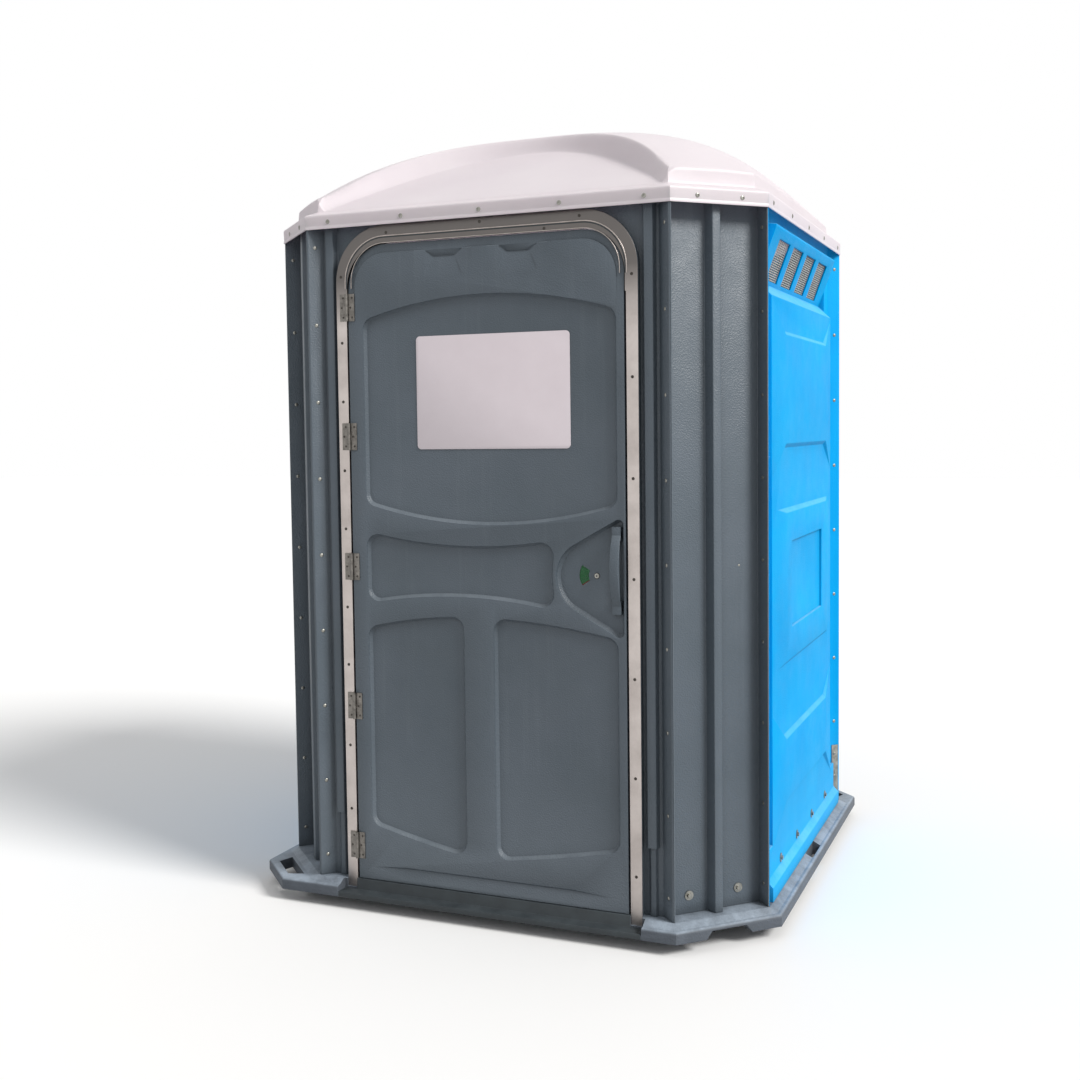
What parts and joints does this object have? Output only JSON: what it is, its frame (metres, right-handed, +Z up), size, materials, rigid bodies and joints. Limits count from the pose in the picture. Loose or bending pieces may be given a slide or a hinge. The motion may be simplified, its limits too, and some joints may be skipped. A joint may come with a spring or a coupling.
{
  "type": "portable toilet cabin",
  "caption": "Free-standing plastic toilet cabin on a skid base, with an outward door on side hinges, a turn lock, a domed roof, vented walls, and a tank with a lidded seat.",
  "frame": {"origin": "on the ground under the middle of the base", "axes": "+Z up, -Y out of the door, +X to the right of someone facing the door"},
  "size_m": [1.596, 1.616, 2.31],
  "materials": {
    "grey_plastic": "textured, satin",
    "blue_plastic": "textured, satin",
    "roof_plastic": "translucent, satin",
    "aluminium": "mill finish",
    "zinc_steel": "zinc plated",
    "dark_rubber": "matt",
    "white_plate": "satin, blank",
    "window_pane": "clear",
    "lock_disc": "gloss",
    "black_plastic": "satin",
    "tank_plastic": "satin",
    "seat_plastic": "satin",
    "screen_metal": "woven",
    "pipe_plastic": "satin",
    "rail_steel": "brushed",
    "urinal_plastic": "satin",
    "paper": "soft"
  },
  "bodies": {
    "cabin": {"base": "grey_plastic", "coat_hook": "zinc_steel", "corner_bolts": "zinc_steel", "corner_panel_front_left": "grey_plastic", "corner_panel_front_right": "grey_plastic", "corner_panel_rear_left": "grey_plastic", "corner_panel_rear_right": "grey_plastic", "door_frame": "aluminium", "door_sill": "dark_rubber", "floor_sheet": "dark_rubber", "front_panel": "grey_plastic", "grab_rail_rear": "rail_steel", "grab_rail_side": "rail_steel", "hinge_frame_leaves": "zinc_steel", "hinge_pins": "zinc_steel", "latch_keeper": "zinc_steel", "lid_hinge_pin": "zinc_steel", "lid_hinge_posts": "black_plastic", "paper_holder": "black_plastic", "paper_rod": "black_plastic", "pipe_clamp": "black_plastic", "rear_brackets": "zinc_steel", "rear_panel": "blue_plastic", "roof": "roof_plastic", "seat_ring": "seat_plastic", "side_bolts": "zinc_steel", "side_panel_left": "blue_plastic", "side_panel_right": "blue_plastic", "skid_left": "black_plastic", "skid_middle": "black_plastic", "skid_right": "black_plastic", "tank_deck": "tank_plastic", "urinal": "urinal_plastic", "urinal_drain": "pipe_plastic", "vent_pipe": "pipe_plastic", "vent_screen_left": "screen_metal", "vent_screen_rear": "screen_metal", "vent_screen_right": "screen_metal", "waste_tank": "tank_plastic"},
    "door": {"door_outer_shell": "grey_plastic", "door_inner_shell": "grey_plastic", "sign_plate": "white_plate", "door_pull": "grey_plastic", "inner_pull": "grey_plastic", "hinge_door_leaves": "zinc_steel", "lock_window": "window_pane"},
    "lock": {"lock_spindle": "zinc_steel", "bolt_arm": "zinc_steel", "occupancy_disc": "lock_disc"},
    "lid": {"seat_lid": "seat_plastic"},
    "roll_front": {"paper_roll_front": "paper"},
    "roll_back": {"paper_roll_back": "paper"}
  },
  "joints": [
    {"name": "door_hinge", "type": "hinge", "parent": "cabin", "child": "door", "pos_m": [-0.422, -0.76705, 1], "axis": [0, 0, -1], "range_deg": [0, 105]},
    {"name": "lock_turn", "type": "hinge", "parent": "door", "child": "lock", "pos_m": [0.331, -0.745, 1.005], "axis": [0, 1, 0], "range_deg": [0, 90]},
    {"name": "lid_hinge", "type": "hinge", "parent": "cabin", "child": "lid", "pos_m": [0, 0.665, 0.5213], "axis": [-1, 0, 0], "range_deg": [0, 92]},
    {"name": "roll_front_spin", "type": "hinge", "parent": "cabin", "child": "roll_front", "pos_m": [0.622, 0.3065, 0.72], "axis": [0, 1, 0], "continuous": true},
    {"name": "roll_back_spin", "type": "hinge", "parent": "cabin", "child": "roll_back", "pos_m": [0.622, 0.419, 0.72], "axis": [0, 1, 0], "continuous": true}
  ]
}
